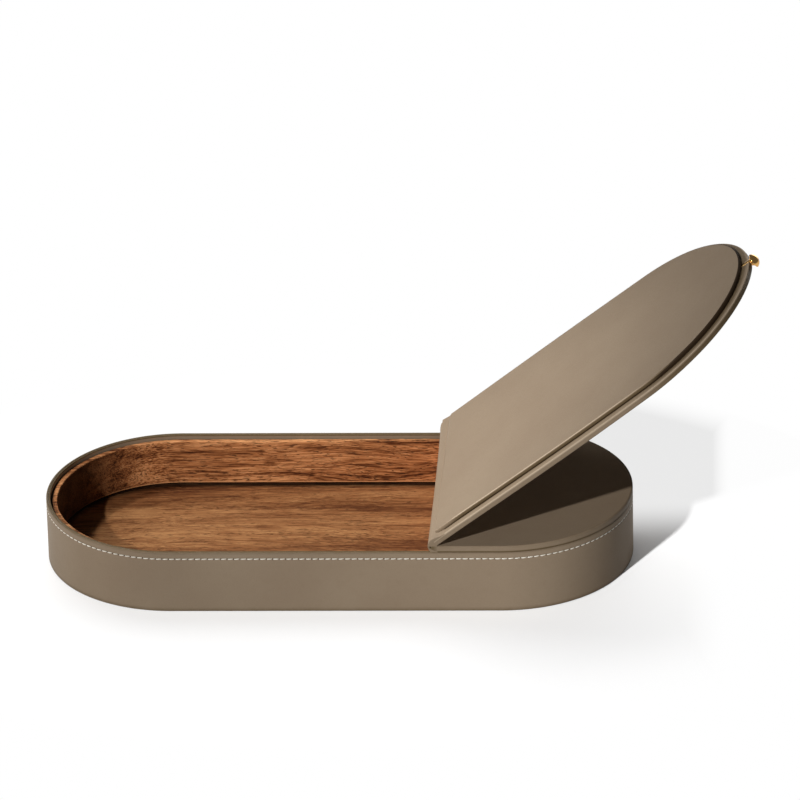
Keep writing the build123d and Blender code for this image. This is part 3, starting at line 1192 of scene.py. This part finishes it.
# Kind, place, aim, strength, size in degrees or metres, and what each lamp lights
lamps = {
    "keyLamp": ("SUN", (-1.652, -2.81, 2.0), (0, 0, 0), 1.8, 1.6, "part"),
    "leftLamp": ("SPOT", (-0.50, 0.03, 0.60), (0.03, -0.005, 0.03), 18.0, 30.0, "part"),  # tray, lid
    "rearLamp": ("AREA", (-0.55, 0.50, 0.60), (-0.05, 0.0, 0.03), 1.6, 0.4, "part"),  # left end
    "frontLamp": ("AREA", (0.10, -0.28, 0.045), (0.08, -0.066, 0.02), 0.13, 0.1, "part"),
    "floorLamp": ("SUN", (-1.652, -2.81, 2.0), (0, 0, 0), 5.4, 2.5, "floor"),
    "floorFillLamp": ("SUN", (-0.1, 1.3, 1.5), (0, 0, 0), 1.5, 60.0, "floor"),  # soft shadow in front
    "backLamp": ("SUN", (0.70, 2.0, 0.24), (0, 0, 0), 1.4, 40.0, "casing"),  # rear of the case and lid
}


def addLight(name, kind, place, aim, strength, size, group):
    data = bpy.data.lights.new(name, kind)
    data.energy = strength
    if kind == "SUN":
        data.angle = radians(size)
    elif kind == "SPOT":
        data.spot_size = radians(size)
        data.spot_blend = 1.0
        data.shadow_soft_size = 0.05
    else:
        data.size = size
    lamp = placed(name, data)
    lamp.location = place
    lamp.rotation_euler = (Vector(place) - Vector(aim)).to_track_quat("Z", "Y").to_euler()
    lamp.light_linking.receiver_collection = lit[group]


def litGroup(name, pieces):
    group = bpy.data.collections.new(name)
    for piece in pieces:
        group.objects.link(piece)
    return group


pieces = [piece for piece in bpy.context.scene.objects if piece.type == "MESH" and piece != floor]
lit = {
    "part": litGroup("part", pieces),
    "floor": litGroup("floorOnly", [floor]),
    "casing": litGroup("casing", [sideHide, stitches, hingeHide, lidHide, brassPull]),
}
for name, setting in lamps.items():
    addLight(name, *setting)

# Light from all round, much weaker for the part than as the white backdrop
worldLook = {"ambient": 0.012, "seen": 0.988, "mirrored": 0.16}
world = bpy.data.worlds.new("studio")
bpy.context.scene.world = world
world.use_nodes = True
worldTree = world.node_tree
worldTree.nodes.clear()
worldGraph = Graph(worldTree)
straight, mirrored = worldGraph.rays()
strength = worldLook["ambient"] + straight * worldLook["seen"] + mirrored * worldLook["mirrored"]
sky = worldGraph.add("ShaderNodeBackground", {"Color": (1, 1, 1, 1), "Strength": strength})
worldEnd = worldTree.nodes.new("ShaderNodeOutputWorld")
worldTree.links.new(sky.socket, worldEnd.inputs["Surface"])

cameraFit = {
    "focal": 7650.772,      # pixels, for a frame 800 wide
    "pitch": 26.771,
    "yaw": -2.621,
    "roll": -1.337,
    "aim": (24.395, 170.114),
    "distance": 4075.319,
}


def makeCamera(fit):
    pitch, yaw, roll = (radians(fit[k]) for k in ("pitch", "yaw", "roll"))
    forward = Vector((sin(yaw) * cos(pitch), cos(yaw) * cos(pitch), -sin(pitch)))
    right = Vector((cos(yaw), -sin(yaw), 0.0))
    up = right.cross(forward)
    across = right * cos(roll) + up * sin(roll)
    upward = up * cos(roll) - right * sin(roll)
    eye = (Vector((*fit["aim"], 0.0)) - forward * fit["distance"]) * mm
    turn = Matrix((across, upward, -forward)).transposed()
    data = bpy.data.cameras.new("camera")
    data.sensor_width = 36.0
    data.lens = fit["focal"] / 800 * 36.0
    data.clip_end = 30.0
    camera = placed("camera", data)
    camera.matrix_world = Matrix.Translation(eye) @ turn.to_4x4()
    bpy.context.scene.camera = camera


makeCamera(cameraFit)
bpy.context.scene.view_settings.view_transform = "Standard"
print("stage, lamps and camera set")
